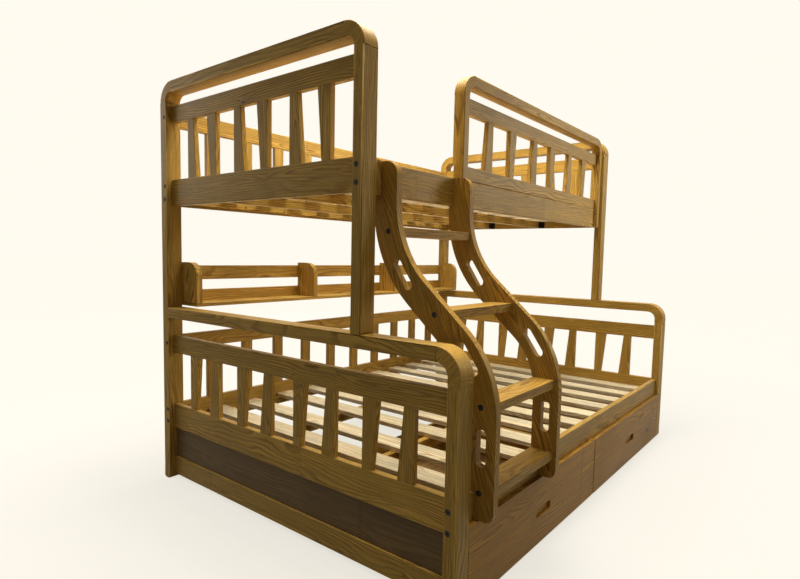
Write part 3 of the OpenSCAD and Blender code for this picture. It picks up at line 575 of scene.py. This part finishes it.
def mark_edges(me, solids, rule):
    """Weights the convex edges that the rule picks for the bevel modifier, and keeps the other
    corners sharp."""
    fewest, most, least = EDGE_RULES[rule]
    co, same, owner = solids
    low, high = {}, {}
    for k in np.unique(owner):
        mine = co[owner == k]
        low[k], high[k] = mine.min(0), mine.max(0)
    sides = {}
    for poly in me.polygons:
        for a, b in poly.edge_keys:
            key = (min(same[a], same[b]), max(same[a], same[b]))
            sides.setdefault(key, []).append(poly)
    weights = np.zeros(len(me.edges), np.float32)
    sharp = np.zeros(len(me.edges), bool)
    for e in me.edges:
        a, b = e.vertices
        pair = sides.get((min(same[a], same[b]), max(same[a], same[b])), [])
        if len(pair) != 2:
            continue
        one, two = pair
        across = one.normal.dot(two.normal)
        sharp[e.index] = across < SHARP
        hollow = (two.center - one.center).dot(one.normal) > 0
        if across > ROUNDED or hollow or np.linalg.norm(co[a] - co[b]) < least:
            continue
        on_side = sum(
            bool(abs(co[a][i] - wall[i]) < ON_SIDE and abs(co[b][i] - wall[i]) < ON_SIDE)
            for wall in (low[owner[a]], high[owner[a]]) for i in range(3))
        if fewest <= on_side <= most:
            weights[e.index] = 1.0
            sharp[e.index] = False
    layer = me.attributes.new("bevel_weight_edge", "FLOAT", "EDGE")
    layer.data.foreach_set("value", weights)
    if "sharp_edge" in me.attributes:
        me.attributes.remove(me.attributes["sharp_edge"])
    me.attributes.new("sharp_edge", "BOOLEAN", "EDGE").data.foreach_set("value", sharp)


def soften(obj, width):
    """Rounds the marked edges over with modifiers; the CAD mesh itself stays as it is."""
    weld = obj.modifiers.new("Join faces", "WELD")
    weld.merge_threshold = WELD
    bevel = obj.modifiers.new("Rounded edges", "BEVEL")
    bevel.width = width
    bevel.segments = 3
    bevel.limit_method = "WEIGHT"
    bevel.use_clamp_overlap = True
    bevel.harden_normals = True
    bevel.miter_outer = "MITER_ARC"


def dress(names, finish, width=0.0, rule="long"):
    """Gives CAD nodes a finish, seeds their boards and rounds their edges."""
    for name in names:
        obj = NODES[name]
        solids = solids_of(obj.data)
        seed_pieces(obj, solids)
        obj.data.materials.clear()
        obj.data.materials.append(material(finish))
        if "custom_normal" in obj.data.attributes:
            obj.data.attributes.remove(obj.data.attributes["custom_normal"])
        obj.data.polygons.foreach_set("use_smooth", [True] * len(obj.data.polygons))
        if width > 0:
            mark_edges(obj.data, solids, rule)
            soften(obj, width)
        obj.data.update()


class BUNK_OT_lower_ends(bpy.types.Operator):
    """Finish the two lower end frames"""
    bl_idname = "bunk.lower_ends"
    bl_label = "Lower end frames"

    def execute(self, context):
        e = context.scene.bunk_edges
        dress(["left_lower_rear_post", "right_lower_rear_post", "left_lower_front_post",
               "right_lower_front_post"], "post_z", e.post)
        dress(["lower_top_rails"], "rail_y", e.post)
        dress(["lower_corner_blocks"], "block", e.post, "rim")
        dress(["lower_mid_rails", "lower_wide_rails", "lower_bottom_rails"], "rail_y", e.board)
        dress(["lower_end_slats"], "slat_z", e.slat, "slat")
        dress(["lower_panels"], "panel", THIN_EDGE)
        return {"FINISHED"}


class BUNK_OT_upper_ends(bpy.types.Operator):
    """Finish the two upper end frames"""
    bl_idname = "bunk.upper_ends"
    bl_label = "Upper end frames"

    def execute(self, context):
        e = context.scene.bunk_edges
        dress(["left_upper_rear_post", "right_upper_rear_post", "left_upper_front_post",
               "right_upper_front_post"], "post_z", e.post)
        dress(["upper_top_rails"], "rail_y", e.post)
        dress(["upper_corner_blocks"], "block", e.post, "rim")
        dress(["upper_mid_rails", "upper_wide_rails"], "rail_y", e.board)
        dress(["upper_end_slats"], "slat_z", e.slat, "slat")
        return {"FINISHED"}


class BUNK_OT_guards(bpy.types.Operator):
    """Finish the front guard and the rear guards"""
    bl_idname = "bunk.guards"
    bl_label = "Guards"

    def execute(self, context):
        e = context.scene.bunk_edges
        dress(["guard_posts"], "post_z", e.post)
        dress(["guard_top_rail"], "rail_x", e.post)
        dress(["guard_corner_blocks"], "guard_block", e.post, "rim")
        dress(["guard_mid_rail", "guard_board", "rear_guard_rails"], "rail_x", e.board)
        dress(["guard_slats", "rear_guard_slats"], "slat_z", e.slat, "slat")
        return {"FINISHED"}


class BUNK_OT_side_rails(bpy.types.Operator):
    """Finish the side rails and the batten beside the ladder"""
    bl_idname = "bunk.side_rails"
    bl_label = "Side rails"

    def execute(self, context):
        e = context.scene.bunk_edges
        dress(["upper_front_rail", "upper_rear_rail", "lower_front_rail", "lower_rear_rail"],
              "rail_x", e.board)
        dress(["rail_batten"], "post_z", e.board)
        return {"FINISHED"}


class BUNK_OT_bed_bases(bpy.types.Operator):
    """Finish the slats, beams and ledges of both bed bases"""
    bl_idname = "bunk.bed_bases"
    bl_label = "Bed bases"

    def execute(self, context):
        e = context.scene.bunk_edges
        dress(["upper_bed_slats", "lower_bed_slats"], "slat_y", e.slat)
        dress(["slat_beams", "slat_ledges"], "rail_x", e.slat)
        return {"FINISHED"}


class BUNK_OT_shelf(bpy.types.Operator):
    """Finish the shelf"""
    bl_idname = "bunk.shelf"
    bl_label = "Shelf"

    def execute(self, context):
        e = context.scene.bunk_edges
        dress(["shelf_board", "shelf_rails"], "rail_x", e.board)
        dress(["shelf_dividers"], "post_z", e.board, "rim")
        return {"FINISHED"}


class BUNK_OT_ladder(bpy.types.Operator):
    """Finish the ladder boards and treads"""
    bl_idname = "bunk.ladder"
    bl_label = "Ladder"

    def execute(self, context):
        e = context.scene.bunk_edges
        dress(["ladder_left_board", "ladder_right_board"], "ladder", e.board, "rim")
        dress(["ladder_treads"], "tread", e.board)
        return {"FINISHED"}


class BUNK_OT_fittings(bpy.types.Operator):
    """Finish the bolts, nuts, screws, pins and brackets"""
    bl_idname = "bunk.fittings"
    bl_label = "Fittings"

    def execute(self, context):
        dress(["bolts", "barrel_nuts", "screws", "post_pins", "beam_brackets"], "steel",
              STEEL_EDGE, "all")
        return {"FINISHED"}


class BUNK_OT_drawers(bpy.types.Operator):
    """Finish the two rolling drawers"""
    bl_idname = "bunk.drawers"
    bl_label = "Drawers"

    def execute(self, context):
        e = context.scene.bunk_edges
        for side in ("left", "right"):
            d = side + "_drawer_"
            dress([d + "front"], "drawer_x", FRONT_EDGE, "pull")
            dress([d + "box"], "rail_x", e.slat)
            dress([d + "bottom"], "drawer_floor", THIN_EDGE)
            dress([d + "brackets"], "steel", STEEL_EDGE, "all")
            dress([d + "front_wheels", d + "rear_wheels"], "plastic", WHEEL_EDGE, "all")
        return {"FINISHED"}


# Stage

SENSOR = 36.0                       # mm wide
SHIFT_UP = 0.0133                   # of the lens, in widths of the sensor
EVEN_WHITE = (1.0, 0.97, 0.93)      # colour of the even light
SOFT_WHITE = (1.0, 0.96, 0.90)      # colour of the fill lamps
FLOOR_DARK, FLOOR_LIGHT = (0.187, 0.180, 0.163), (0.193, 0.186, 0.168)
FLOOR_SIZE = 60.0                   # half a side, in metres
FLOOR_LAMP_GREY, FLOOR_SKY_GREY = 0.17, 0.18    # of the floor in the estimate of its light


def lamp(name, place, aim, size, power, colour, spread=180.0):
    """A soft lamp that looks at a point; size is its sides, spread the full angle of its grid."""
    data = bpy.data.lights.new(name, "AREA")
    data.shape = "RECTANGLE"
    data.size, data.size_y = size
    data.energy = power
    data.color = colour
    data.spread = math.radians(spread)
    obj = bpy.data.objects.new(name, data)
    bpy.context.scene.collection.objects.link(obj)
    obj.location = place
    obj.rotation_euler = (Vector(aim) - Vector(place)).to_track_quat("-Z", "Y").to_euler()
    return obj


def add_world(scene, s):
    """Weak even light; the camera and reflections see the paper colour past the floor."""
    scene.world = bpy.data.worlds.new("studio")
    scene.world.use_nodes = True
    tree = scene.world.node_tree
    back = tree.nodes["Background"]
    path = tree.nodes.new("ShaderNodeLightPath").outputs
    seen = maths(tree, "MAXIMUM", path["Is Camera Ray"],
                 maths(tree, "MAXIMUM", path["Is Glossy Ray"], path["Is Transmission Ray"]))
    feed(tree, back.inputs["Color"], mix_colour(tree, seen, EVEN_WHITE, s.paper))
    feed(tree, back.inputs["Strength"],
         maths(tree, "MULTIPLY_ADD", seen, 1.0 - s.ambient, s.ambient))


def add_floor(scene, s):
    """Grey paper that keeps the shadow: where it is lit in full, the camera sees the background.

    For the camera and for reflections only, it glows by what its own light falls short of that.
    """
    me = bpy.data.meshes.new("floor")
    bm = bmesh.new()
    bmesh.ops.create_grid(bm, x_segments=8, y_segments=8, size=FLOOR_SIZE)
    bm.to_mesh(me)
    bm.free()
    floor = bpy.data.objects.new("floor", me)
    floor.location = (0, 0, -0.0005)
    scene.collection.objects.link(floor)
    mat, tree, shader, coords = fresh_material("floor paper")
    mottle = noise(tree, coords, 3.0).outputs[0]
    feed(tree, shader.inputs["Base Color"], mix_colour(tree, mottle, FLOOR_DARK, FLOOR_LIGHT))
    shader.inputs["Roughness"].default_value = 1.0
    shader.inputs["Specular IOR Level"].default_value = 0.0

    # The overhead lamp's light on the floor, with the fall-off of a level lamp, and the sky's
    x, y, height = s.lamp_place
    away = vecmath(tree, "DISTANCE", coords, (x, y, 0.0))
    cone = maths(tree, "DIVIDE", height, maths(tree, "MULTIPLY_ADD", away, away, height ** 2))
    spot = maths(tree, "MULTIPLY", maths(tree, "MULTIPLY", cone, cone),
                 s.overhead / math.pi ** 2)
    lit = maths(tree, "MULTIPLY_ADD", spot, FLOOR_LAMP_GREY,
                FLOOR_SKY_GREY * (s.ambient + s.sky / math.pi))
    path = tree.nodes.new("ShaderNodeLightPath").outputs
    seen = maths(tree, "MAXIMUM", path["Is Camera Ray"], path["Is Glossy Ray"])
    feed(tree, shader.inputs["Emission Color"], s.paper)
    feed(tree, shader.inputs["Emission Strength"],
         maths(tree, "MULTIPLY", seen, maths(tree, "SUBTRACT", 1.0, lit)))
    me.materials.append(mat)


def add_lights(scene, s):
    """A soft lamp over the bed, weak fills round it, and the sky."""
    high = tuple(s.lamp_place)
    lamp("overhead", high, high[0:2] + (0.0,), (1.5, 1.5), s.overhead, (1.0, 0.95, 0.86))
    lamp("front fill", (2.4, -2.2, 1.9), (0.6, -0.33, 1.3), (1.2, 1.2), s.front, SOFT_WHITE, 60.0)
    lamp("rear fill", (3.2, 5.2, 2.2), (0.0, 0.0, 0.8), (3.0, 3.0), s.rear, SOFT_WHITE)
    lamp("side fill", (-1.7, 2.2, 1.7), (-1.0, 0.6, 1.3), (0.8, 0.8), s.side, SOFT_WHITE)
    low = lamp("bounce", (0.0, 0.2, 0.32), (0.0, 0.2, 1.0), (1.7, 0.8), s.bounce,
               (1.0, 0.93, 0.82), 100.0)
    low.visible_camera = low.visible_glossy = False
    sky = bpy.data.lights.new("sky", "SUN")
    sky.energy = s.sky
    sky.angle = math.radians(50)
    sky.color = (1.0, 0.97, 0.92)
    obj = bpy.data.objects.new("sky", sky)
    scene.collection.objects.link(obj)
    obj.location = (0, 0, 4)


def add_camera(scene, s):
    """The camera that was solved from the photograph."""
    cam = bpy.data.objects.new("camera", bpy.data.cameras.new("camera"))
    scene.collection.objects.link(cam)
    forward = Vector((math.cos(s.yaw) * math.cos(s.pitch), math.sin(s.yaw) * math.cos(s.pitch),
                      math.sin(s.pitch)))
    level_right = Vector((math.sin(s.yaw), -math.cos(s.yaw), 0))
    level_up = level_right.cross(forward)
    right = level_right * math.cos(s.roll) + level_up * math.sin(s.roll)
    up = level_up * math.cos(s.roll) - level_right * math.sin(s.roll)
    turn = Matrix((right, up, -forward)).transposed().to_4x4()
    cam.matrix_world = Matrix.Translation(Vector(s.eye)) @ turn
    cam.data.sensor_fit = "HORIZONTAL"
    cam.data.sensor_width = SENSOR
    cam.data.lens = s.lens
    cam.data.shift_y = SHIFT_UP
    cam.data.clip_end = 200.0
    scene.camera = cam


class BUNK_OT_stage(bpy.types.Operator):
    """Add the floor, the light and the camera"""
    bl_idname = "bunk.stage"
    bl_label = "Stage"

    def execute(self, context):
        s = context.scene.bunk_stage
        add_world(context.scene, s)
        add_floor(context.scene, s)
        add_lights(context.scene, s)
        add_camera(context.scene, s)
        context.scene.view_settings.view_transform = "Standard"
        return {"FINISHED"}


OPERATORS = (
    BUNK_OT_lower_ends, BUNK_OT_upper_ends, BUNK_OT_guards, BUNK_OT_side_rails,
    BUNK_OT_bed_bases, BUNK_OT_shelf, BUNK_OT_ladder, BUNK_OT_fittings, BUNK_OT_drawers,
    BUNK_OT_stage,
)


class BUNK_PT_panel(bpy.types.Panel):
    """Sizes and colours, and a button for each group of pieces"""
    bl_idname = "BUNK_PT_panel"
    bl_label = "Bunk bed"
    bl_space_type = "VIEW_3D"
    bl_region_type = "UI"
    bl_category = "Bunk bed"

    def draw(self, context):
        for group in ("bunk_pine", "bunk_edges", "bunk_stage"):
            settings = getattr(context.scene, group)
            column = self.layout.column(align=True)
            for key in settings.__annotations__:
                column.prop(settings, key)
        for op in OPERATORS:
            self.layout.operator(op.bl_idname)


CLASSES = (PineSettings, EdgeSettings, StageSettings) + OPERATORS + (BUNK_PT_panel,)


def register():
    for cls in CLASSES:
        bpy.utils.register_class(cls)
    bpy.types.Scene.bunk_pine = bpy.props.PointerProperty(type=PineSettings)
    bpy.types.Scene.bunk_edges = bpy.props.PointerProperty(type=EdgeSettings)
    bpy.types.Scene.bunk_stage = bpy.props.PointerProperty(type=StageSettings)


def unregister():
    del bpy.types.Scene.bunk_stage
    del bpy.types.Scene.bunk_edges
    del bpy.types.Scene.bunk_pine
    for cls in reversed(CLASSES):
        bpy.utils.unregister_class(cls)


def main():
    register()
    bpy.ops.bunk.lower_ends()
    bpy.ops.bunk.upper_ends()
    bpy.ops.bunk.guards()
    bpy.ops.bunk.side_rails()
    bpy.ops.bunk.bed_bases()
    bpy.ops.bunk.shelf()
    bpy.ops.bunk.ladder()
    bpy.ops.bunk.fittings()
    bpy.ops.bunk.drawers()
    bpy.ops.bunk.stage()
    bpy.context.view_layer.update()


if __name__ == "__main__":
    main()
